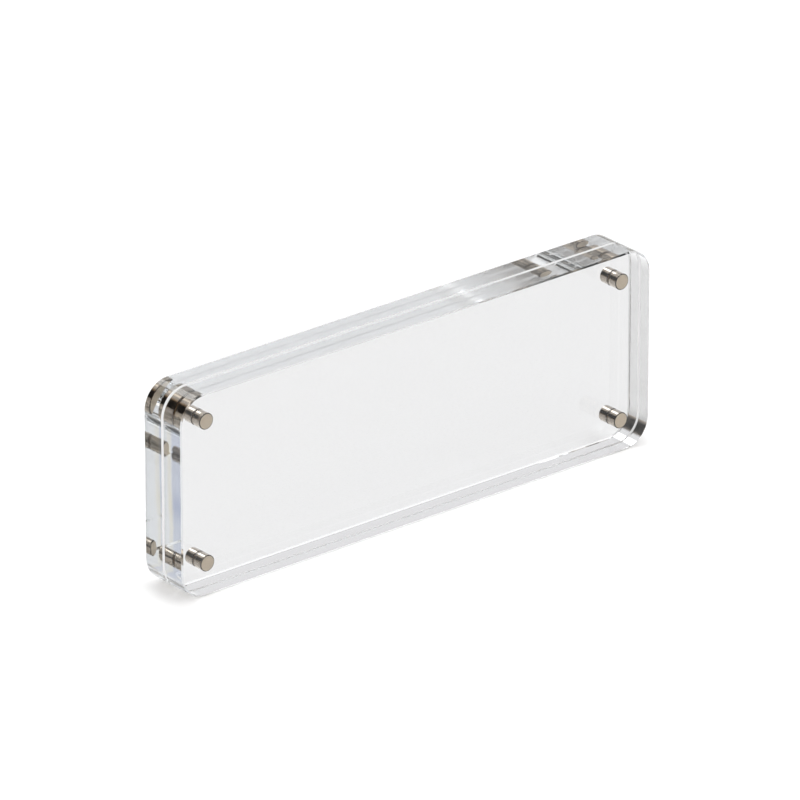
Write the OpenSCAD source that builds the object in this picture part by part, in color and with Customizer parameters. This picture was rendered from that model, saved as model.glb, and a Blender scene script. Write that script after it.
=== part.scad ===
// Magnetic photo frame: two thick clear panels that close face to face on a picture.
// Four pairs of rod magnets, set in blind bores in the inner faces, hold them together.
//
// The frame stands on its long edge. X runs along the length, with +X to the right.
// Y runs through the thickness, with the front towards -Y. Z is up.
// The origin is on the table, under the middle of the closed frame.

/* [Panels] */
// Length of each panel, from end to end
panel_length = 210; // [120:1:320]
// Height of each panel
panel_height = 75; // [50:1:200]
// Thickness of the sheet that each panel is cut from
panel_thickness = 10; // [8.5:0.5:20]
// Radius of the four rounded corners of a panel
corner_radius = 10; // [4:0.5:18]
// Width of the polished bevel that runs round both faces of a panel
edge_bevel = 0.5; // [0.2:0.1:1.5]
// Gap between the closed panels, which the picture fills
picture_gap = 0.25; // [0.1:0.05:1]

/* [Magnets] */
// Diameter of each rod magnet
magnet_diameter = 6; // [4:0.5:10]
// Length of each rod magnet
magnet_length = 7.5; // [3:0.5:8]
// Radius of the plated rim at both ends of a magnet
magnet_rim_radius = 0.4; // [0.1:0.1:1]
// Distance from the end of a panel to the axis of a magnet
magnet_end_inset = 12; // [8:0.5:30]
// Distance from the top or bottom edge of a panel to the axis of a magnet
magnet_edge_inset = 11; // [8:0.5:20]

/* [Fits] */
// Clearance between a magnet and the wall of its bore, filled by the clear adhesive
bore_clearance = 0.05; // [0.02:0.01:0.2]
// Clearance between a magnet and the floor of its bore
floor_clearance = 0.05; // [0.02:0.01:0.2]
// Depth of a magnet's end below the inner face, so that the panels meet first
magnet_recess = 0.3; // [0.05:0.05:0.4]

/* [Hidden] */
// Signs that pick a panel, an end of it and an edge of it
front = -1;
rear = 1;
left = -1;
right = 1;
bottom = -1;
top = 1;

// Facets of each full circle
$fn = 96;
// How far a cutter runs past the face that it opens
cutter_overrun = 1;

// Middle of the panels' height, about which the magnets are set out
mid_height = panel_height / 2;
// Distance from the frame's middle plane to the inner face of a panel
inner_face = picture_gap / 2;
// Distances from a panel's centre to the centres of its rounded corners
corner_x = panel_length / 2 - corner_radius;
corner_z = panel_height / 2 - corner_radius;
// Distances from a panel's centre to the axes of its magnets
magnet_x = panel_length / 2 - magnet_end_inset;
magnet_z = panel_height / 2 - magnet_edge_inset;
// Size of the blind bore that takes a magnet
bore_radius = magnet_diameter / 2 + bore_clearance;
bore_depth = magnet_recess + magnet_length + floor_clearance;

// Section through a panel between two bevelled edges: across by thickness, centred on the panel.
function bevelled_section(across) =
  let (a = across / 2, t = panel_thickness / 2, b = edge_bevel)
  [[-a + b, -t], [a - b, -t], [a, -t + b], [a, t - b], [a - b, t], [-a + b, t], [-a, t - b], [-a, -t + b]];

// Half of the section through a rounded corner, from its axis out to the bevelled rim.
function corner_section() =
  let (r = corner_radius, t = panel_thickness / 2, b = edge_bevel)
  [[0, -t], [r - b, -t], [r, -t + b], [r, t - b], [r - b, t], [0, t]];

// Half of the section through a magnet, from its axis out, with its lower end at 0.
module magnet_section() {
  union() {
    square([magnet_diameter / 2 - magnet_rim_radius, magnet_length]);
    translate([0, magnet_rim_radius])
      square([magnet_diameter / 2, magnet_length - 2 * magnet_rim_radius]);
    for (end = [magnet_rim_radius, magnet_length - magnet_rim_radius]) {
      translate([magnet_diameter / 2 - magnet_rim_radius, end])
        circle(r = magnet_rim_radius);
    }
  }
}

// A blank panel with rounded corners and bevelled faces, centred on the origin.
module panel_blank() {
  union() {
    // The middle of the length keeps the full height.
    rotate([90, 0, 90])
      linear_extrude(height = 2 * corner_x, center = true)
        rotate(90)
          polygon(bevelled_section(panel_height));
    // The middle of the height keeps the full length.
    linear_extrude(height = 2 * corner_z, center = true)
      polygon(bevelled_section(panel_length));
    for (x = [-corner_x, corner_x]) {
      for (z = [-corner_z, corner_z]) {
        translate([x, 0, z])
          rotate([90, 0, 0])
            rotate_extrude()
              polygon(corner_section());
      }
    }
  }
}

// Carries its children from the frame's middle plane to a panel's inner face, with +Z into the panel.
module at_inner_face(face) {
  translate([0, face * inner_face, mid_height])
    rotate([-90 * face, 0, 0])
      children();
}

// Carries its children to a magnet's axis on a panel's inner face, with +Z into the panel.
module at_magnet(face, side, edge) {
  translate([side * magnet_x, 0, edge * magnet_z])
    at_inner_face(face)
      children();
}

// A panel with its four blind bores, open at the inner face.
module panel(face) {
  difference() {
    translate([0, face * (inner_face + panel_thickness / 2), mid_height])
      panel_blank();
    for (side = [left, right]) {
      for (edge = [bottom, top]) {
        at_magnet(face, side, edge)
          translate([0, 0, -cutter_overrun])
            cylinder(h = bore_depth + cutter_overrun, r = bore_radius);
      }
    }
  }
}

// A rod magnet in its bore, just below the panel's inner face.
module magnet(face, side, edge) {
  color("silver")
    at_magnet(face, side, edge)
      translate([0, 0, magnet_recess])
        rotate_extrude()
          magnet_section();
}

module rear_panel() {
  color("whitesmoke", 0.35)
    panel(rear);
}

module front_panel() {
  color("whitesmoke", 0.35)
    panel(front);
}

module rear_magnet_top_left() {
  magnet(rear, left, top);
}

module rear_magnet_top_right() {
  magnet(rear, right, top);
}

module rear_magnet_bottom_left() {
  magnet(rear, left, bottom);
}

module rear_magnet_bottom_right() {
  magnet(rear, right, bottom);
}

module front_magnet_top_left() {
  magnet(front, left, top);
}

module front_magnet_top_right() {
  magnet(front, right, top);
}

module front_magnet_bottom_left() {
  magnet(front, left, bottom);
}

module front_magnet_bottom_right() {
  magnet(front, right, bottom);
}

rear_panel();
rear_magnet_top_left();
rear_magnet_top_right();
rear_magnet_bottom_left();
rear_magnet_bottom_right();
front_panel();
front_magnet_top_left();
front_magnet_top_right();
front_magnet_bottom_left();
front_magnet_bottom_right();
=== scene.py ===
"""Looks of a clear magnetic photo frame: two thick acrylic panels held together by rod magnets.

The frame stands on its long edge on a pale studio floor. The camera looks down on its front and left end.
"""

import logging
import math
from dataclasses import dataclass, field
from enum import Enum

import bmesh
import bpy
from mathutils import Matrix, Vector


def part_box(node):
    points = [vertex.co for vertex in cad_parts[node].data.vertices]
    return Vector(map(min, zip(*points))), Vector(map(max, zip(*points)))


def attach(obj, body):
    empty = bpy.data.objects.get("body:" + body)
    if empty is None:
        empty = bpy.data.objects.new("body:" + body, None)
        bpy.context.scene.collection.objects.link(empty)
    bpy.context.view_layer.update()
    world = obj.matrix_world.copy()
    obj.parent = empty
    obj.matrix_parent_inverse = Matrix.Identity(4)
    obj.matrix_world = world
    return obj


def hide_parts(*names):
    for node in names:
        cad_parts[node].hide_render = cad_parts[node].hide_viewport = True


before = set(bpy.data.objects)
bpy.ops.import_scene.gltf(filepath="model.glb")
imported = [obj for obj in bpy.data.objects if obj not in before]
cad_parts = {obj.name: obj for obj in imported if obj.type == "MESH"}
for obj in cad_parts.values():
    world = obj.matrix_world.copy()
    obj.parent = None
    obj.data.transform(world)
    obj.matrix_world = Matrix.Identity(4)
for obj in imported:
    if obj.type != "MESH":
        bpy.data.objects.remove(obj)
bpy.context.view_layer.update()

LOG = logging.getLogger("photo_frame")
MM = 0.001

Socket = bpy.types.NodeSocket
Colour = tuple[float, float, float]
Triple = tuple[float, float, float]
Span = tuple[float, float]

WHITE: Colour = (1.0, 1.0, 1.0)
WHOLE: Span = (0.0, 1.0)


class Side(Enum):
    """The two halves of the frame, with the sign of their place along Y."""

    FRONT = -1
    REAR = 1


class End(Enum):
    """The two short ends of a panel, with the sign of their place along X."""

    LEFT = -1
    RIGHT = 1


class Edge(Enum):
    """The two long edges of a panel, with the sign of their place along Z."""

    BOTTOM = -1
    TOP = 1


def whole_colour(colour: Colour) -> tuple[float, float, float, float]:
    """Gives a colour the alpha of 1 that a colour socket asks for."""
    return (*colour, 1.0)


class NodeSheet:
    """A node tree with short ways to add nodes and join them."""

    def __init__(self, tree: bpy.types.NodeTree) -> None:
        """Takes the node tree of a material, a world or a group to draw on."""
        self.tree = tree

    def add(self, kind: str, **settings: object) -> bpy.types.Node:
        """Adds a node.

        Args:
            kind: Blender's name for the type of node.
            **settings: Properties of the node, such as its operation.

        Returns:
            The new node.
        """
        node = self.tree.nodes.new(kind)
        for name, value in settings.items():
            setattr(node, name, value)
        return node

    def feed(self, socket: Socket, source: object) -> None:
        """Joins an output to an input, or sets the input's own value.

        Args:
            socket: The input.
            source: An output, or a plain value.
        """
        if isinstance(source, Socket):
            self.tree.links.new(source, socket)
        else:
            socket.default_value = source

    def maths(self, operation: str, *values: object) -> Socket:
        """Adds a Math node.

        Args:
            operation: Blender's name for the operation.
            *values: Its inputs, each an output or a number.

        Returns:
            The result.
        """
        node = self.add("ShaderNodeMath", operation=operation)
        for socket, value in zip(node.inputs, values):
            self.feed(socket, value)
        return node.outputs["Value"]

    def product(self, first: Socket, *others: object) -> Socket:
        """Multiplies values, such as masks that all have to hold.

        Args:
            first: The first factor.
            *others: The other factors.

        Returns:
            The product.
        """
        result = first
        for other in others:
            result = self.maths("MULTIPLY", result, other)
        return result

    def less(self, value: object, part: Socket) -> Socket:
        """Gives what is left of a value, or of 1 for all, when a part is taken away."""
        return self.maths("SUBTRACT", value, part)

    def vector_maths(self, operation: str, *vectors: object, result: str = "Vector") -> Socket:
        """Adds a Vector Math node.

        Args:
            operation: Blender's name for the operation.
            *vectors: Its vectors, each an output or a plain vector.
            result: The output to use, Vector or Value.

        Returns:
            The result.
        """
        node = self.add("ShaderNodeVectorMath", operation=operation)
        for socket, vector in zip(node.inputs, vectors):
            self.feed(socket, vector)
        return node.outputs[result]

    def run_along(self, axis: Socket) -> Socket:
        """Measures how far the ray runs along an axis.

        Args:
            axis: An output with the axis, of length 1.

        Returns:
            The share, from 0 across the axis to 1 along it.
        """
        weight = self.add("ShaderNodeLayerWeight")
        self.feed(weight.inputs["Normal"], axis)
        return self.less(1.0, weight.outputs["Facing"])

    def step(self, value: object, span: Span, low: object, high: object) -> Socket:
        """Maps a value with a soft step.

        Args:
            value: The value to map.
            span: Where the step starts and ends.
            low: The result before the step.
            high: The result after it.

        Returns:
            The mapped value.
        """
        node = self.add("ShaderNodeMapRange", interpolation_type="SMOOTHSTEP")
        self.feed(node.inputs["Value"], value)
        self.feed(node.inputs["From Min"], span[0])
        self.feed(node.inputs["From Max"], span[1])
        self.feed(node.inputs["To Min"], low)
        self.feed(node.inputs["To Max"], high)
        return node.outputs["Result"]

    def rise(self, value: object, span: Span) -> Socket:
        """Makes a mask that rises softly from 0 to 1 while the value crosses the span."""
        return self.step(value, span, 0.0, 1.0)

    def fall(self, value: object, span: Span) -> Socket:
        """Makes a mask that falls softly from 1 to 0 while the value crosses the span."""
        return self.step(value, span, 1.0, 0.0)

    def blend(self, mask: object, low: object, high: object) -> Socket:
        """Goes softly from the low number to the high one as a mask goes from 0 to 1."""
        return self.step(mask, WHOLE, low, high)

    def mix_colours(self, share: object, first: object, second: object) -> Socket:
        """Mixes two colours.

        Args:
            share: How much of the second colour shows.
            first: The colour at a share of 0.
            second: The colour at a share of 1.

        Returns:
            The mixed colour.
        """
        node = self.add("ShaderNodeMix", data_type="RGBA")
        colours = [socket for socket in node.inputs if socket.type == "RGBA"]
        self.feed(node.inputs[0], share)
        self.feed(colours[0], first)
        self.feed(colours[1], second)
        return [socket for socket in node.outputs if socket.type == "RGBA"][0]

    def mix_vectors(self, share: object, first: object, second: object) -> Socket:
        """Mixes two vectors.

        Args:
            share: How much of the second vector counts.
            first: The vector at a share of 0.
            second: The vector at a share of 1.

        Returns:
            The mixed vector.
        """
        node = self.add("ShaderNodeMix", data_type="VECTOR")
        vectors = [socket for socket in node.inputs if socket.type == "VECTOR" and socket.enabled]
        self.feed(node.inputs[0], share)
        self.feed(vectors[0], first)
        self.feed(vectors[1], second)
        return [socket for socket in node.outputs if socket.type == "VECTOR"][0]

    def noise(self, place: object, scale: object, detail: float) -> Socket:
        """Adds a Noise Texture.

        Args:
            place: The coordinates it reads.
            scale: Its scale, per metre.
            detail: How many finer layers it has.

        Returns:
            Its value, from 0 to 1.
        """
        node = self.add("ShaderNodeTexNoise")
        self.feed(node.inputs["Vector"], place)
        self.feed(node.inputs["Scale"], scale)
        node.inputs["Detail"].default_value = detail
        return node.outputs["Fac"]

    def coordinates(self, output: str) -> Socket:
        """Gives an output of a Texture Coordinate node, such as Object or Normal."""
        return self.add("ShaderNodeTexCoord").outputs[output]

    def parts(self, vector: object) -> bpy.types.bpy_prop_collection:
        """Takes a vector apart.

        Args:
            vector: The vector.

        Returns:
            Its parts, by the names X, Y and Z.
        """
        node = self.add("ShaderNodeSeparateXYZ")
        self.feed(node.inputs[0], vector)
        return node.outputs

    def across_panel(self, length: Socket) -> Socket:
        """Makes a vector that lies along Y, across the thickness of a panel.

        Args:
            length: Its length and sign.

        Returns:
            The vector.
        """
        node = self.add("ShaderNodeCombineXYZ")
        self.feed(node.inputs["Y"], length)
        return node.outputs["Vector"]

    def use(self, group: bpy.types.NodeTree, **values: object) -> bpy.types.Node:
        """Places a node group.

        Args:
            group: The group.
            **values: Its inputs by name, with underscores for spaces.

        Returns:
            The group's node.
        """
        node = self.add("ShaderNodeGroup", node_tree=group)
        for name, value in values.items():
            self.feed(node.inputs[name.replace("_", " ")], value)
        return node

    def bump(self, height: Socket, distance: float, strength: float) -> Socket:
        """Turns a height into a normal.

        Args:
            height: The height, from 0 to 1.
            distance: How high 1 stands, in metres.
            strength: How much of it shows.

        Returns:
            The normal.
        """
        node = self.add("ShaderNodeBump")
        node.inputs["Strength"].default_value = strength
        node.inputs["Distance"].default_value = distance
        self.feed(node.inputs["Height"], height)
        return node.outputs["Normal"]


def new_group(
    name: str, inputs: dict[str, str], outputs: dict[str, str]
) -> tuple[NodeSheet, bpy.types.Node, bpy.types.Node]:
    """Starts a shader node group with named inputs and outputs.

    Args:
        name: The group's name.
        inputs: The type of socket for each input's name.
        outputs: The type of socket for each output's name.

    Returns:
        The sheet to draw on, the node that gives the inputs and the node that takes the outputs.
    """
    tree = bpy.data.node_groups.new(name, "ShaderNodeTree")
    for socket, kind in inputs.items():
        tree.interface.new_socket(name=socket, in_out="INPUT", socket_type=kind)
    for socket, kind in outputs.items():
        tree.interface.new_socket(name=socket, in_out="OUTPUT", socket_type=kind)
    sheet = NodeSheet(tree)
    return sheet, sheet.add("NodeGroupInput"), sheet.add("NodeGroupOutput")


def magnet_node(side: Side, edge: Edge, end: End) -> str:
    """Names the CAD node of the magnet near one long edge and one short end of a panel."""
    return f"{side.name}_magnet_{edge.name}_{end.name}".lower()


def middle_of(node: str) -> Vector:
    """Finds the middle of a CAD node's box."""
    low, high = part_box(node)
    return (low + high) / 2


@dataclass(frozen=True)
class MagnetLayout:
    """Where the axes of the magnets lie, read from the frame."""

    half_span: float
    middle_height: float
    half_rise: float

    @classmethod
    def from_frame(cls) -> "MagnetLayout":
        """Reads the layout from the corner magnets of the front panel.

        Returns:
            The layout.
        """
        low_end = middle_of(magnet_node(Side.FRONT, Edge.BOTTOM, End.RIGHT))
        high_end = middle_of(magnet_node(Side.FRONT, Edge.TOP, End.RIGHT))
        return cls(low_end.x, (low_end.z + high_end.z) / 2, (high_end.z - low_end.z) / 2)


@dataclass(frozen=True)
class Stripe:
    """An upright painted colour fringe on the two ends of the frame, standing in for split light, with its
    reach along Y.
    """

    colour_input: str
    start: float
    stop: float


class Effects:
    """The surface effects that more than one finish uses, each a node group built once."""

    smudge_detail: float = 3.0
    smudge_span: Span = (0.52, 0.72)
    hairline_stretch: Triple = (1.0, 1.0, 0.04)
    hairline_scale: float = 9000.0
    hairline_detail: float = 1.0
    hairline_span: Span = (0.68, 0.74)
    grain_detail: float = 4.0
    leaves_edge_span: Span = (0.01, 0.04)
    leaves_face_span: Span = (0.985, 0.999)
    outer_half_span: Span = (4.0 * MM, 6.0 * MM)
    upright_span: Span = (0.15, 0.55)
    end_face_span: Span = (0.98, 0.999)
    # Where the painted colour fringes stand on the ends, and their stripes.
    fringe_foot: Span = (27.0 * MM, 36.0 * MM)
    fringe_head: Span = (60.0 * MM, 66.0 * MM)
    fringe_softness: float = 0.35 * MM
    stripes: tuple[Stripe, ...] = (
        Stripe("First Colour", -4.6 * MM, -2.6 * MM),
        Stripe("Second Colour", -9.8 * MM, -4.8 * MM),
        Stripe("First Colour", 2.0 * MM, 4.0 * MM),
        Stripe("Second Colour", 0.6 * MM, 1.9 * MM),
    )

    def __init__(self, layout: MagnetLayout) -> None:
        """Builds the groups.

        Args:
            layout: Where the magnets sit, for the rings that a lathe leaves around their axes.
        """
        self.handling = self.build_handling()
        self.grain = self.build_grain()
        self.rings = self.build_rings(layout)
        self.rims = self.build_rims()
        self.fringes = self.build_fringes()

    def build_handling(self) -> bpy.types.NodeTree:
        """Builds faint smudges with fine hairlines, as hands and a cloth leave on a polished surface.

        Returns:
            The group, with Marks from 0 to 1.
        """
        sheet, given, out = new_group(
            "handling_marks",
            {"Place": "NodeSocketVector", "Smudge Scale": "NodeSocketFloat", "Hairlines": "NodeSocketFloat"},
            {"Marks": "NodeSocketFloat"},
        )
        place = given.outputs["Place"]
        blotches = sheet.noise(place, given.outputs["Smudge Scale"], self.smudge_detail)
        smudges = sheet.rise(blotches, self.smudge_span)
        drawn_out = sheet.vector_maths("MULTIPLY", place, self.hairline_stretch)
        strands = sheet.noise(drawn_out, self.hairline_scale, self.hairline_detail)
        faint_lines = sheet.product(sheet.rise(strands, self.hairline_span), given.outputs["Hairlines"])
        sheet.feed(out.inputs["Marks"], sheet.maths("MAXIMUM", smudges, faint_lines))
        return sheet.tree

    def build_grain(self) -> bpy.types.NodeTree:
        """Builds the fine grain of a cut or plated surface, drawn out along its cutting direction.

        Returns:
            The group, with its Grain from 0 to 1.
        """
        sheet, given, out = new_group(
            "cutting_grain",
            {"Place": "NodeSocketVector", "Scale": "NodeSocketFloat", "Stretch": "NodeSocketVector"},
            {"Grain": "NodeSocketFloat"},
        )
        drawn_out = sheet.vector_maths("MULTIPLY", given.outputs["Place"], given.outputs["Stretch"])
        sheet.feed(out.inputs["Grain"], sheet.noise(drawn_out, given.outputs["Scale"], self.grain_detail))
        return sheet.tree

    def build_rings(self, layout: MagnetLayout) -> bpy.types.NodeTree:
        """Builds the fine rings that turning leaves on a flat end, around the axis of every magnet.

        Args:
            layout: Where the magnets sit.

        Returns:
            The group, with Rings from 0 to 1.
        """
        sheet, given, out = new_group(
            "turning_rings",
            {"Place": "NodeSocketVector", "Pitch": "NodeSocketFloat"},
            {"Rings": "NodeSocketFloat"},
        )
        place = sheet.parts(given.outputs["Place"])
        across = sheet.maths("SUBTRACT", sheet.maths("ABSOLUTE", place["X"]), layout.half_span)
        above = sheet.maths("SUBTRACT", place["Z"], layout.middle_height)
        up = sheet.maths("SUBTRACT", sheet.maths("ABSOLUTE", above), layout.half_rise)
        squares = sheet.maths("ADD", sheet.product(across, across), sheet.product(up, up))
        turns = sheet.maths("DIVIDE", sheet.maths("SQRT", squares), given.outputs["Pitch"])
        wave = sheet.maths("SINE", sheet.product(turns, math.tau))
        sheet.feed(out.inputs["Rings"], sheet.rise(wave, (-1.0, 1.0)))
        return sheet.tree

    def build_rims(self) -> bpy.types.NodeTree:
        """Builds the masks of the narrow surfaces round a panel's two large faces.

        Returns:
            The group, with masks for the Outer rim, for the Inner one beside the picture, for what stands
            Upright at the two ends and for the sawn Edge between the rims.
        """
        sheet, given, out = new_group(
            "rim_masks",
            {"Place": "NodeSocketVector", "Normal": "NodeSocketVector"},
            {
                "Outer": "NodeSocketFloat",
                "Inner": "NodeSocketFloat",
                "Upright": "NodeSocketFloat",
                "Edge": "NodeSocketFloat",
            },
        )
        facing = sheet.parts(given.outputs["Normal"])
        across = sheet.maths("ABSOLUTE", facing["Y"])
        leaves_edge = sheet.rise(across, self.leaves_edge_span)
        slanted = sheet.product(leaves_edge, sheet.fall(across, self.leaves_face_span))
        depth = sheet.maths("ABSOLUTE", sheet.parts(given.outputs["Place"])["Y"])
        far = sheet.rise(depth, self.outer_half_span)
        sheet.feed(out.inputs["Outer"], sheet.product(slanted, far))
        sheet.feed(out.inputs["Inner"], sheet.product(slanted, sheet.less(1.0, far)))
        endward = sheet.maths("ABSOLUTE", facing["X"])
        sheet.feed(out.inputs["Upright"], sheet.rise(endward, self.upright_span))
        sheet.feed(out.inputs["Edge"], sheet.less(1.0, leaves_edge))
        return sheet.tree

    def build_fringes(self) -> bpy.types.NodeTree:
        """Builds two pale colour fringes, painted as stripes up the ends, that stand in for the split light
        a thick end shows like a prism.

        Returns:
            The group, with the Colour that the surface passes: white away from the stripes.
        """
        sheet, given, out = new_group(
            "prism_fringes",
            {
                "Place": "NodeSocketVector",
                "Normal": "NodeSocketVector",
                "First Colour": "NodeSocketColor",
                "Second Colour": "NodeSocketColor",
            },
            {"Colour": "NodeSocketColor"},
        )
        place = sheet.parts(given.outputs["Place"])
        endward = sheet.maths("ABSOLUTE", sheet.parts(given.outputs["Normal"])["X"])
        stretch = sheet.product(
            sheet.rise(endward, self.end_face_span),
            sheet.rise(place["Z"], self.fringe_foot),
            sheet.fall(place["Z"], self.fringe_head),
        )
        colour: object = whole_colour(WHITE)
        for stripe in self.stripes:
            first_side = (stripe.start - self.fringe_softness, stripe.start + self.fringe_softness)
            last_side = (stripe.stop - self.fringe_softness, stripe.stop + self.fringe_softness)
            begins, ends = sheet.rise(place["Y"], first_side), sheet.fall(place["Y"], last_side)
            share = sheet.product(stretch, begins, ends)
            colour = sheet.mix_colours(share, colour, given.outputs[stripe.colour_input])
        sheet.feed(out.inputs["Colour"], colour)
        return sheet.tree


def new_material(name: str) -> tuple[bpy.types.Material, NodeSheet, bpy.types.Node]:
    """Makes a node material.

    Args:
        name: Its name.

    Returns:
        The material, its sheet and its Principled BSDF.
    """
    material = bpy.data.materials.new(name)
    material.use_nodes = True
    return material, NodeSheet(material.node_tree), material.node_tree.nodes["Principled BSDF"]


def add_depth(sheet: NodeSheet, colour: Colour, density: float) -> None:
    """Tints light by the depth of clear stuff it passes.

    Args:
        sheet: The material's sheet.
        colour: The colour that passes.
        density: How strongly the rest is taken, per metre.
    """
    absorption = sheet.add("ShaderNodeVolumeAbsorption")
    absorption.inputs["Color"].default_value = whole_colour(colour)
    absorption.inputs["Density"].default_value = density
    output = sheet.tree.nodes["Material Output"]
    sheet.feed(output.inputs["Volume"], absorption.outputs["Volume"])


@dataclass(frozen=True)
class RimLight:
    """Masks of a panel's rims, sorted by how the light meets them.

    Attributes:
        outer: Outer rims that stay satin.
        inner: Inner rims, which are shaded flush with the panel's faces.
        upright: What stands upright at the two ends.
        unseen: What the camera doesn't see directly.
        passed: Rims that trapped light leaves straight on.
        level_outer: Outer rims that trapped light passes by, as if they were flush.
        edge_on: Upright rims that the camera sees at a low angle.
        bent: The other upright rims that the camera sees.
    """

    outer: Socket
    inner: Socket
    upright: Socket
    unseen: Socket
    passed: Socket
    level_outer: Socket
    edge_on: Socket
    bent: Socket


@dataclass(frozen=True)
class ClearAcrylic:
    """Cast acrylic: clear polished faces, satin rims and long edges greyed with painted shade, end rims
    lightened with painted light where the camera meets them directly, and a very faint cool tint in its
    depth.

    One material covers a whole panel, so that light leaves the tinted depth by whichever face it likes.
    """

    ior: float = 1.49
    clean_roughness: float = 0.0
    marked_roughness: float = 0.018
    upright_rim_roughness: float = 0.20
    near_rim_roughness: float = 0.10
    long_rim_roughness: float = 0.04
    # Painted shade greys the rims and the long sawn edges through the colours below. The near rim colour is
    # painted light, which makes the end rims that the camera sees directly lighter.
    upright_rim_shade_tint: Colour = (0.55, 0.55, 0.55)
    near_rim_light_tint: Colour = (0.90, 0.92, 0.94)
    inner_rim_shade_tint: Colour = (0.79, 0.79, 0.79)
    long_rim_shade_tint: Colour = (0.72, 0.72, 0.72)
    long_edge_shade_tint: Colour = (0.94, 0.94, 0.94)
    # Painted colour fringes on the ends, standing in for split light.
    painted_cream_fringe: Colour = (1.0, 0.93, 0.78)
    painted_lilac_fringe: Colour = (0.58, 0.62, 0.76)
    smudge_scale: float = 38.0
    hairlines: float = 0.6
    grain_scale: float = 2600.0
    grain_stretch: Triple = (0.2, 1.0, 0.2)
    grain_span: Span = (0.3, 0.7)
    grain_range: Span = (0.7, 1.3)
    grain_depth: float = 0.004 * MM
    grain_strength: float = 0.5
    trapped_depths: Span = (4.5, 5.5)
    edge_on_span: Span = (0.6, 0.85)
    rim_turn: float = 0.5
    depth_colour: Colour = (0.93, 0.96, 0.975)
    depth_density: float = 4.0

    def make(self, effects: Effects) -> bpy.types.Material:
        """Builds the material.

        Args:
            effects: The shared effects.

        Returns:
            The material.
        """
        material, sheet, shader = new_material("clear_cast_acrylic")
        shader.inputs["Transmission Weight"].default_value = 1.0
        shader.inputs["IOR"].default_value = self.ior
        place, normal = sheet.coordinates("Object"), sheet.coordinates("Normal")
        cut = sheet.use(effects.grain, Place=place, Scale=self.grain_scale, Stretch=self.grain_stretch)
        grain = cut.outputs["Grain"]
        marks = sheet.use(
            effects.handling, Place=place, Smudge_Scale=self.smudge_scale, Hairlines=self.hairlines
        )
        fringes = sheet.use(
            effects.fringes,
            Place=place,
            Normal=normal,
            First_Colour=whole_colour(self.painted_cream_fringe),
            Second_Colour=whole_colour(self.painted_lilac_fringe),
        )
        masks = sheet.use(effects.rims, Place=place, Normal=normal).outputs
        inside = sheet.add("ShaderNodeNewGeometry").outputs["Backfacing"]
        panel_side = sheet.maths("SIGN", sheet.parts(place)["Y"])
        flat = sheet.across_panel(panel_side)
        edgeward = sheet.vector_maths("NORMALIZE", sheet.vector_maths("MULTIPLY", normal, (1.0, 0.0, 1.0)))
        steep = sheet.maths("GREATER_THAN", sheet.run_along(edgeward), sheet.run_along(flat))
        rims = self.sort_rims(sheet, masks, inside, steep)
        straight_on = sheet.maths("ADD", rims.passed, rims.edge_on)
        sheet.feed(shader.inputs["IOR"], sheet.blend(straight_on, self.ior, 1.0))
        # The painted shade and light of the rims and long edges, and the painted colour fringes of the ends,
        # go into the colour here.
        colour = self.passing_colour(sheet, rims, masks["Edge"], fringes.outputs["Colour"])
        sheet.feed(shader.inputs["Base Color"], colour)
        roughness = self.roughness(sheet, rims, grain, marks.outputs["Marks"])
        sheet.feed(shader.inputs["Roughness"], roughness)
        sheet.feed(shader.inputs["Normal"], self.normal(sheet, rims, grain, inside, panel_side, flat))
        add_depth(sheet, self.depth_colour, self.depth_density)
        return material

    def sort_rims(
        self, sheet: NodeSheet, masks: bpy.types.bpy_prop_collection, inside: Socket, steep: Socket
    ) -> RimLight:
        """Sorts the rims by how the light meets them.

        Args:
            sheet: The material's sheet.
            masks: The outputs of the rim masks.
            inside: 1 where the ray meets the surface from within the acrylic.
            steep: 1 where the ray runs more towards the rim's edge than across the panel.

        Returns:
            The sorted masks.
        """
        ray = sheet.add("ShaderNodeLightPath").outputs
        seen = ray["Is Camera Ray"]
        deep = sheet.rise(ray["Ray Depth"], self.trapped_depths)
        trapped = sheet.product(inside, ray["Is Glossy Ray"])
        far_outer = sheet.product(masks["Outer"], deep, trapped)
        met_inner = sheet.product(masks["Inner"], trapped)
        outer = sheet.less(masks["Outer"], far_outer)
        facing = sheet.add("ShaderNodeLayerWeight").outputs["Facing"]
        near = sheet.product(outer, masks["Upright"], seen)
        edge_on = sheet.product(near, sheet.rise(facing, self.edge_on_span))
        return RimLight(
            outer=outer,
            inner=sheet.less(masks["Inner"], sheet.product(met_inner, steep)),
            upright=masks["Upright"],
            unseen=sheet.less(1.0, seen),
            passed=sheet.product(sheet.maths("ADD", far_outer, met_inner), steep),
            level_outer=sheet.less(far_outer, sheet.product(far_outer, steep)),
            edge_on=edge_on,
            bent=sheet.less(near, edge_on),
        )

    def passing_colour(self, sheet: NodeSheet, rims: RimLight, edge: Socket, fringes: Socket) -> Socket:
        """Finds the colour that the surface passes, with painted shade on the rims and long edges and
        painted light on the end rims that the camera sees directly.

        Args:
            sheet: The material's sheet.
            rims: The sorted rims.
            edge: The mask of the sawn edges.
            fringes: The painted colour fringes of the two ends.

        Returns:
            The colour.
        """
        # Painted light and shade on the end rims: lighter where the camera sees them directly, darker grey
        # to all other rays.
        upright_rims = sheet.mix_colours(
            rims.bent, whole_colour(self.upright_rim_shade_tint), whole_colour(self.near_rim_light_tint)
        )
        # Painted shade greys the long outer rims.
        outer_rims = sheet.mix_colours(rims.upright, whole_colour(self.long_rim_shade_tint), upright_rims)
        # Painted shade greys the long sawn edges at the top and the bottom.
        long_edge = sheet.product(edge, sheet.less(1.0, rims.upright))
        colour = sheet.mix_colours(long_edge, fringes, whole_colour(self.long_edge_shade_tint))
        colour = sheet.mix_colours(rims.outer, colour, outer_rims)
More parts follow.
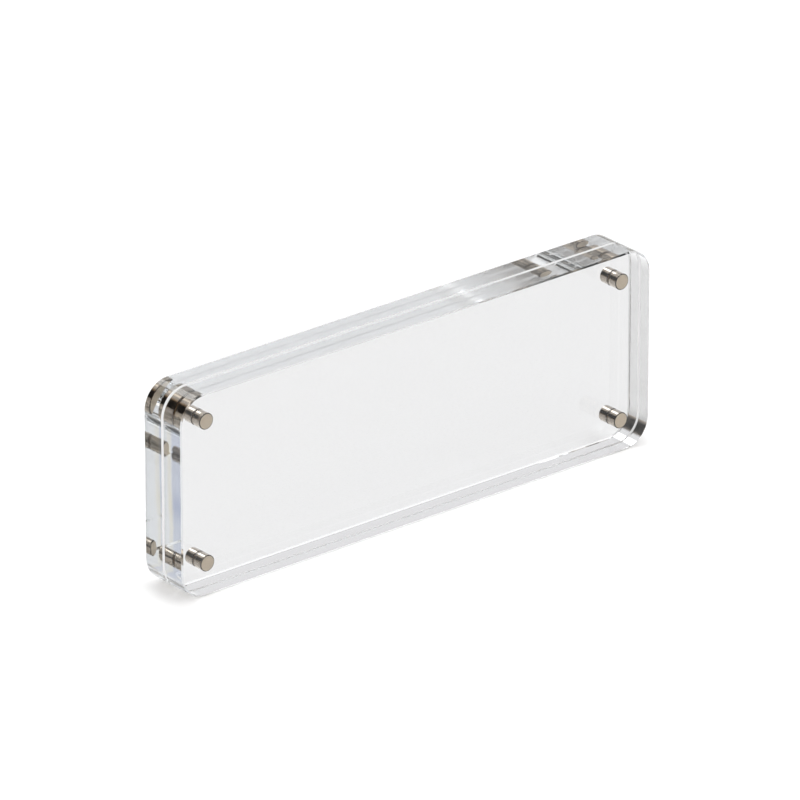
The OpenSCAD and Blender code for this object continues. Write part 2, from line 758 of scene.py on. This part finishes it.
        # Painted shade dims the upright inner rims for rays other than the camera's, and the rims that
        # trapped light passes straight on.
        upright_inner = sheet.product(rims.inner, rims.unseen, rims.upright)
        dimmed = sheet.maths("ADD", upright_inner, rims.passed)
        return sheet.mix_colours(dimmed, colour, whole_colour(self.inner_rim_shade_tint))

    def roughness(self, sheet: NodeSheet, rims: RimLight, grain: Socket, marks: Socket) -> Socket:
        """Finds the roughness of faces and rims.

        Args:
            sheet: The material's sheet.
            rims: The sorted rims.
            grain: The cutting grain.
            marks: The marks of handling.

        Returns:
            The roughness.
        """
        polished = sheet.blend(marks, self.clean_roughness, self.marked_roughness)
        upright_rims = sheet.blend(rims.bent, self.upright_rim_roughness, self.near_rim_roughness)
        outer_rims = sheet.blend(rims.upright, self.long_rim_roughness, upright_rims)
        uneven = sheet.step(grain, self.grain_span, *self.grain_range)
        return sheet.maths("MAXIMUM", polished, sheet.product(rims.outer, outer_rims, uneven))

    def normal(
        self, sheet: NodeSheet, rims: RimLight, grain: Socket, inside: Socket, side: Socket, flat: Socket
    ) -> Socket:
        """Finds the normal: grained on the outer rims, and level with the faces where a rim is flush.

        Args:
            sheet: The material's sheet.
            rims: The sorted rims.
            grain: The cutting grain.
            inside: 1 where the ray meets the surface from within the acrylic.
            side: The sign of the panel's place along Y.
            flat: The way that the panel's outer face looks.

        Returns:
            The normal.
        """
        grained = sheet.bump(sheet.product(grain, rims.outer), self.grain_depth, self.grain_strength)
        ray_side = sheet.blend(inside, -1.0, 1.0)
        rim_side = sheet.blend(rims.level_outer, 1.0, -1.0)
        level = sheet.across_panel(sheet.product(side, ray_side, rim_side))
        normals = sheet.mix_vectors(sheet.maths("ADD", rims.inner, rims.level_outer), grained, level)
        turned = sheet.mix_vectors(sheet.product(rims.bent, self.rim_turn), normals, flat)
        return sheet.vector_maths("NORMALIZE", turned)


@dataclass(frozen=True)
class NickelPlate:
    """Warm bright nickel: smooth on the sides, finely turned on the flat ends, which are painted lighter
    than the sides, and darkened with painted shade at the rounded rims.
    """

    side_colour: Colour = (0.45, 0.395, 0.33)
    # Painted light: the flat ends get a lighter colour than the sides, though both are the same plating.
    lit_end_colour: Colour = (0.61, 0.525, 0.415)
    # Painted shade: the rounded rims are nearly black.
    rim_shade_colour: Colour = (0.05, 0.042, 0.035)
    side_roughness: float = 0.09
    end_roughness: float = 0.34
    smudge_roughness: float = 0.05
    flat_end_span: Span = (0.80, 0.97)
    leaves_end_span: Span = (0.93, 0.99)
    leaves_side_span: Span = (0.02, 0.20)
    smudge_scale: float = 420.0
    hairlines: float = 0.5
    grain_scale: float = 1800.0
    grain_stretch: Triple = (1.0, 0.35, 1.0)
    tone_span: Span = (0.25, 0.75)
    tone_range: Span = (0.94, 1.03)
    grain_span: Span = (0.2, 0.8)
    grain_range: Span = (0.8, 1.2)
    grain_share: float = 0.6
    ring_pitch: float = 0.22 * MM
    relief: float = 0.0015 * MM
    relief_strength: float = 0.35

    def make(self, effects: Effects) -> bpy.types.Material:
        """Builds the material.

        Args:
            effects: The shared effects.

        Returns:
            The material.
        """
        material, sheet, shader = new_material("nickel_plate")
        shader.inputs["Metallic"].default_value = 1.0
        place = sheet.coordinates("Object")
        endward = sheet.maths("ABSOLUTE", sheet.parts(sheet.coordinates("Normal"))["Y"])
        flat_end = sheet.rise(endward, self.flat_end_span)
        turned = sheet.use(effects.rings, Place=place, Pitch=self.ring_pitch)
        plated = sheet.use(effects.grain, Place=place, Scale=self.grain_scale, Stretch=self.grain_stretch)
        handled = sheet.use(
            effects.handling, Place=place, Smudge_Scale=self.smudge_scale, Hairlines=self.hairlines
        )
        grain, rings, marks = plated.outputs["Grain"], turned.outputs["Rings"], handled.outputs["Marks"]

        # Painted light: the flat ends take a lighter colour than the sides.
        colour = sheet.mix_colours(flat_end, whole_colour(self.side_colour), whole_colour(self.lit_end_colour))
        # Painted shade darkens the rounded rims between the sides and the flat ends.
        painted_rim_shade = sheet.product(
            sheet.fall(endward, self.leaves_end_span), sheet.rise(endward, self.leaves_side_span)
        )
        colour = sheet.mix_colours(painted_rim_shade, colour, whole_colour(self.rim_shade_colour))
        shaded = sheet.add("ShaderNodeVectorMath", operation="SCALE")
        sheet.feed(shaded.inputs[0], colour)
        sheet.feed(shaded.inputs["Scale"], sheet.step(grain, self.tone_span, *self.tone_range))
        sheet.feed(shader.inputs["Base Color"], shaded.outputs["Vector"])

        base = sheet.blend(flat_end, self.side_roughness, self.end_roughness)
        grainy = sheet.product(base, sheet.step(grain, self.grain_span, *self.grain_range))
        smudged = sheet.product(marks, self.smudge_roughness)
        sheet.feed(shader.inputs["Roughness"], sheet.maths("ADD", grainy, smudged))

        height = sheet.maths("ADD", sheet.product(rings, flat_end), sheet.product(grain, self.grain_share))
        sheet.feed(shader.inputs["Normal"], sheet.bump(height, self.relief, self.relief_strength))
        return material


@dataclass(frozen=True)
class StudioFloorPaint:
    """The pale satin table under the frame, which the camera sees as plain white."""

    colour: Colour = (0.778, 0.778, 0.778)
    fibre_colour: Colour = (0.758, 0.758, 0.758)
    fibre_scale: float = 900.0
    fibre_detail: float = 2.0
    fibre_span: Span = (0.3, 0.7)
    sheen_ior: float = 2.0
    sheen_roughness: float = 0.25

    def make(self) -> bpy.types.Material:
        """Builds the material.

        Returns:
            The material.
        """
        material, sheet, shader = new_material("studio_table")
        shader.inputs["Specular IOR Level"].default_value = 0.0
        shader.inputs["Roughness"].default_value = 1.0
        seen = sheet.add("ShaderNodeLightPath").outputs["Is Camera Ray"]
        fibres = sheet.noise(sheet.coordinates("Object"), self.fibre_scale, self.fibre_detail)
        tone = sheet.rise(fibres, self.fibre_span)
        table = sheet.mix_colours(tone, whole_colour(self.colour), whole_colour(self.fibre_colour))
        sheet.feed(shader.inputs["Base Color"], sheet.mix_colours(seen, table, whole_colour(WHITE)))
        sheet.feed(shader.inputs["Coat Weight"], sheet.less(1.0, seen))
        shader.inputs["Coat IOR"].default_value = self.sheen_ior
        shader.inputs["Coat Roughness"].default_value = self.sheen_roughness
        return material


def select_only(piece: bpy.types.Object) -> None:
    """Makes a piece the active one and the only one selected.

    Args:
        piece: The piece.
    """
    bpy.ops.object.select_all(action="DESELECT")
    piece.select_set(True)
    bpy.context.view_layer.objects.active = piece


def set_in_place(piece: bpy.types.Object) -> None:
    """Moves a piece's place, turn and size into its mesh, so that its object sits at the origin."""
    select_only(piece)
    bpy.ops.object.transform_apply(location=True, rotation=True, scale=True)


def apply_modifier(piece: bpy.types.Object, modifier: bpy.types.Modifier) -> None:
    """Applies one of a piece's modifiers."""
    select_only(piece)
    bpy.ops.object.modifier_apply(modifier=modifier.name)


def bevel_edges(piece: bpy.types.Object, run: Span, width: float, segments: int) -> None:
    """Bevels the edges of a piece that run a given way along Y.

    Args:
        piece: The piece.
        run: How far such an edge runs along Y, from the first length up to the second.
        width: The bevel's width.
        segments: The bevel's number of segments.
    """
    select_only(piece)
    bpy.ops.object.mode_set(mode="EDIT")
    bpy.ops.mesh.select_mode(type="EDGE")
    bpy.ops.mesh.select_all(action="DESELECT")
    mesh = bmesh.from_edit_mesh(piece.data)
    for edge in mesh.edges:
        first, second = (vertex.co.y for vertex in edge.verts)
        if run[0] <= abs(first - second) < run[1]:
            edge.select_set(True)
    bmesh.update_edit_mesh(piece.data)
    bpy.ops.mesh.bevel(offset=width, segments=segments, affect="EDGES", clamp_overlap=False)
    bpy.ops.object.mode_set(mode="OBJECT")


@dataclass
class AcrylicPanel:
    """One of the two thick clear panels, with rounded corners, satin bevels and four blind bores."""

    side: Side
    corner_radius: float = 10.0 * MM
    corner_segments: int = 48
    bevel_width: float = 0.5 * MM
    bevel_segments: int = 1
    magnet_overlap: float = 0.02 * MM
    magnet_rim: float = 0.4 * MM
    magnet_rim_segments: int = 5
    bore_radius: float = 3.05 * MM
    mouth_depth: float = 0.05 * MM
    bore_segments: int = 96
    smooth_angle: float = math.radians(35.0)
    face_weight: int = 100
    low: Vector = field(init=False)
    high: Vector = field(init=False)
    piece: bpy.types.Object | None = field(default=None, init=False)

    def __post_init__(self) -> None:
        """Reads the panel's box once, as each reading goes through the whole CAD mesh."""
        self.low, self.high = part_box(self.node)

    @property
    def node(self) -> str:
        """The panel's CAD node."""
        return f"{self.side.name.lower()}_panel"

    @property
    def body(self) -> str:
        """The body that the panel moves with."""
        return f"{self.side.name.lower()}_half"

    @property
    def inner_face(self) -> float:
        """The place along Y of the face that meets the picture."""
        return self.high.y if self.side is Side.FRONT else self.low.y

    @property
    def half_thickness(self) -> float:
        """Half of the panel's thickness, which only the edges across it run further than."""
        return (self.high.y - self.low.y) / 2

    def build(self) -> None:
        """Models the panel, step by step, in its place."""
        self.cut_blank()
        self.round_corners()
        self.bevel_rims()
        self.bore()
        self.shade()

    def cut_blank(self) -> None:
        """Starts from a square block of the panel's size."""
        bpy.ops.object.select_all(action="DESELECT")
        bpy.ops.mesh.primitive_cube_add(size=1.0, location=(self.low + self.high) / 2)
        self.piece = bpy.context.object
        self.piece.name = f"clear_{self.node}"
        self.piece.scale = self.high - self.low
        set_in_place(self.piece)

    def round_corners(self) -> None:
        """Rounds the four corners seen from the front."""
        bevel_edges(self.piece, (self.half_thickness, math.inf), self.corner_radius, self.corner_segments)

    def bevel_rims(self) -> None:
        """Breaks the rims of the two large faces."""
        bevel_edges(self.piece, (0.0, self.half_thickness), self.bevel_width, self.bevel_segments)

    def rod(self, middle: Vector, radius: float, length: float) -> bpy.types.Object:
        """Makes a plain rod along Y.

        Args:
            middle: Its middle.
            radius: Its radius.
            length: Its length.

        Returns:
            The rod.
        """
        bpy.ops.object.select_all(action="DESELECT")
        bpy.ops.mesh.primitive_cylinder_add(
            vertices=self.bore_segments,
            radius=radius,
            depth=length,
            location=middle,
            rotation=(math.pi / 2, 0.0, 0.0),
        )
        rod = bpy.context.object
        set_in_place(rod)
        return rod

    def magnet_core(self, magnet: str) -> bpy.types.Object:
        """Makes the hollow that a magnet leaves in the cured adhesive, a hair smaller than the magnet.

        Args:
            magnet: The magnet's CAD node.

        Returns:
            The core, with rounded rims as the magnet has.
        """
        low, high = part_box(magnet)
        radius = (high.x - low.x) / 2 - self.magnet_overlap
        core = self.rod((low + high) / 2, radius, high.y - low.y - 2 * self.magnet_overlap)
        bevel_edges(core, (0.0, self.magnet_overlap), self.magnet_rim, self.magnet_rim_segments)
        return core

    def bore_mouth(self, magnet: str) -> bpy.types.Object:
        """Makes the shallow cut over a bore, where the adhesive stands a little below the inner face.

        Args:
            magnet: The magnet's CAD node.

        Returns:
            The cutter.
        """
        middle = middle_of(magnet)
        middle.y = self.inner_face
        return self.rod(middle, self.bore_radius, 2 * self.mouth_depth)

    def bore(self) -> None:
        """Cuts the four filled bores in one go."""
        magnets = [magnet_node(self.side, edge, end) for edge in Edge for end in End]
        cutters = [make(magnet) for magnet in magnets for make in (self.magnet_core, self.bore_mouth)]
        select_only(cutters[0])
        for cutter in cutters[1:]:
            cutter.select_set(True)
        bpy.ops.object.join()
        cut = self.piece.modifiers.new("bores", "BOOLEAN")
        cut.operation = "DIFFERENCE"
        cut.solver = "EXACT"
        cut.object = cutters[0]
        apply_modifier(self.piece, cut)
        bpy.data.objects.remove(cutters[0])

    def shade(self) -> None:
        """Smooths the round stretches and keeps the flats exactly flat, as clear stuff shows every error."""
        select_only(self.piece)
        bpy.ops.object.shade_smooth_by_angle(angle=self.smooth_angle)
        weigh = self.piece.modifiers.new("weigh", "WEIGHTED_NORMAL")
        weigh.mode = "FACE_AREA"
        weigh.weight = self.face_weight
        weigh.keep_sharp = True
        apply_modifier(self.piece, weigh)

    def dress(self, acrylic: bpy.types.Material) -> None:
        """Puts the finish on the panel and joins it to the frame.

        Args:
            acrylic: Its finish.
        """
        self.piece.data.materials.append(acrylic)
        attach(self.piece, self.body)
        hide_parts(self.node)
        LOG.info("%s stands for %s and rides on %s", self.piece.name, self.node, self.body)


@dataclass
class MagnetSet:
    """The four rod magnets of one panel, whose CAD shapes are kept."""

    side: Side

    def dress(self, nickel: bpy.types.Material) -> None:
        """Plates the magnets.

        Args:
            nickel: Their finish.
        """
        for edge in Edge:
            for end in End:
                name = magnet_node(self.side, edge, end)
                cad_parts[name].material_slots[0].material = nickel
                LOG.info("%s keeps its CAD shape and has a nickel finish", name)


@dataclass(frozen=True)
class StudioCard:
    """A soft patch in the studio's surroundings that the clear and the plated surfaces mirror."""

    toward: Triple
    full_angle: float
    faded_angle: float
    colour: Colour


@dataclass
class Studio:
    """The pale floor and the soft surroundings, whose overhead card takes the place of a lamp."""

    floor_size: float = 12.0
    floor_drop: float = 0.2 * MM
    sky_colour: Colour = (0.75, 0.75, 0.76)
    path_bounces: int = 64
    diffuse_bounces: int = 4
    cards: tuple[StudioCard, ...] = (
        StudioCard((0.0, 0.0, 1.0), 28.0, 42.0, (1.90, 1.90, 1.90)),
        StudioCard((-0.66, 0.70, 0.20), 22.0, 34.0, (0.42, 0.37, 0.32)),
        StudioCard((-0.62, 0.68, 0.42), 14.0, 25.0, (0.02, 0.02, 0.02)),
        StudioCard((-0.66, -0.70, 0.15), 28.0, 40.0, (0.50, 0.38, 0.26)),
        StudioCard((-0.66, -0.70, 0.25), 18.0, 27.0, (0.02, 0.02, 0.02)),
        StudioCard((0.15, 0.70, 0.70), 7.0, 12.0, (4.0, 4.1, 4.2)),
        StudioCard((0.10, -0.70, 0.70), 6.0, 12.0, (1.8, 1.78, 1.75)),
        StudioCard((0.58, 0.81, 0.09), 5.0, 11.0, (1.3, 1.3, 1.3)),
    )

    def lay_floor(self) -> None:
        """Lays the floor just under the frame."""
        bpy.ops.object.select_all(action="DESELECT")
        bpy.ops.mesh.primitive_plane_add(size=self.floor_size, location=(0.0, 0.0, -self.floor_drop))
        floor = bpy.context.object
        floor.name = "studio_floor"
        set_in_place(floor)
        floor.data.materials.append(StudioFloorPaint().make())

    def paint_surroundings(self) -> None:
        """Makes the world: white to the camera, and soft light with the cards to everything else."""
        world = bpy.data.worlds.new("soft_studio")
        world.use_nodes = True
        bpy.context.scene.world = world
        sheet = NodeSheet(world.node_tree)
        direction = sheet.coordinates("Generated")
        colour: object = whole_colour(self.sky_colour)
        for card in self.cards:
            toward = Vector(card.toward).normalized()
            nearness = sheet.vector_maths("DOT_PRODUCT", direction, toward, result="Value")
            faded = math.cos(math.radians(card.faded_angle))
            full = math.cos(math.radians(card.full_angle))
            share = sheet.rise(nearness, (faded, full))
            colour = sheet.mix_colours(share, colour, whole_colour(card.colour))
        background = world.node_tree.nodes["Background"]
        seen = sheet.add("ShaderNodeLightPath").outputs["Is Camera Ray"]
        sheet.feed(background.inputs["Color"], sheet.mix_colours(seen, colour, whole_colour(WHITE)))

    def allow_long_paths(self) -> None:
        """Lets light bounce often enough to cross the panels from end to end."""
        cycles = bpy.context.scene.cycles
        cycles.max_bounces = self.path_bounces
        cycles.glossy_bounces = self.path_bounces
        cycles.transmission_bounces = self.path_bounces
        cycles.diffuse_bounces = self.diffuse_bounces
        cycles.blur_glossy = 0.0

    def build(self) -> None:
        """Builds the whole studio."""
        self.lay_floor()
        self.paint_surroundings()
        self.allow_long_paths()
        bpy.context.scene.view_settings.view_transform = "Standard"


@dataclass(frozen=True)
class Viewpoint:
    """The photograph's camera, fitted to the outline of the frame in its 800 pixel picture."""

    azimuth: float = math.radians(-39.734)
    elevation: float = math.radians(24.126)
    distance: float = 3.5716
    target: Triple = (0.0, 0.0, 37.5 * MM)
    picture_side: float = 800.0
    focal_pixels: float = 10339.0
    centre_pixel_x: float = 400.8
    centre_pixel_y: float = 412.8
    sensor: float = 36.0
    reach: float = 100.0

    def set_up(self) -> None:
        """Makes the camera and hands it to the scene."""
        camera = bpy.data.cameras.new("photo_camera")
        holder = bpy.data.objects.new("photo_camera", camera)
        bpy.context.scene.collection.objects.link(holder)
        flat = math.cos(self.elevation)
        back = Vector(
            (math.sin(self.azimuth) * flat, -math.cos(self.azimuth) * flat, math.sin(self.elevation))
        )
        holder.location = Vector(self.target) + back * self.distance
        holder.rotation_euler = (-back).to_track_quat("-Z", "Y").to_euler()
        camera.sensor_width = self.sensor
        camera.lens = self.focal_pixels * self.sensor / self.picture_side
        half = self.picture_side / 2
        camera.shift_x = (half - self.centre_pixel_x) / self.picture_side
        camera.shift_y = (self.centre_pixel_y - half) / self.picture_side
        camera.clip_end = self.reach
        camera.dof.use_dof = False
        bpy.context.scene.camera = holder


def main() -> None:
    """Builds the frame's looks, then the studio and the camera."""
    logging.basicConfig(level=logging.INFO)
    effects = Effects(MagnetLayout.from_frame())
    acrylic = ClearAcrylic().make(effects)
    nickel = NickelPlate().make(effects)
    for side in Side:
        panel = AcrylicPanel(side)
        panel.build()
        panel.dress(acrylic)
        MagnetSet(side).dress(nickel)
    Studio().build()
    Viewpoint().set_up()


if __name__ == "__main__":
    main()
